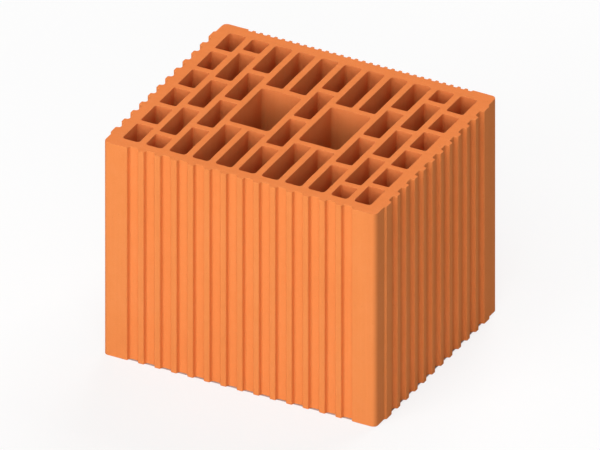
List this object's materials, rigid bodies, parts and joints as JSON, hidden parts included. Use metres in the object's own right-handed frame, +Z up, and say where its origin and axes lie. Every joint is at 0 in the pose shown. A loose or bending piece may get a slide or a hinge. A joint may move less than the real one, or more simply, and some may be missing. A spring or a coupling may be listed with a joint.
{
  "type": "hollow clay block",
  "caption": "Fired clay wall block with upright cells in offset rows, larger grip cells, grooved front and ends, and a finely ribbed back.",
  "frame": {"origin": "middle of the underside, on the bed face the block stands on", "axes": "+X along the longer side, +Y across the block from the grooved front to the finely ribbed back, +Z up along the cells"},
  "size_m": [0.3, 0.25, 0.238],
  "materials": {
    "fired_clay": "matt, unglazed, orange-red fired clay with faint extrusion lines"
  },
  "bodies": {
    "root": {"hollow_clay_block": "fired_clay"}
  },
  "joints": []
}
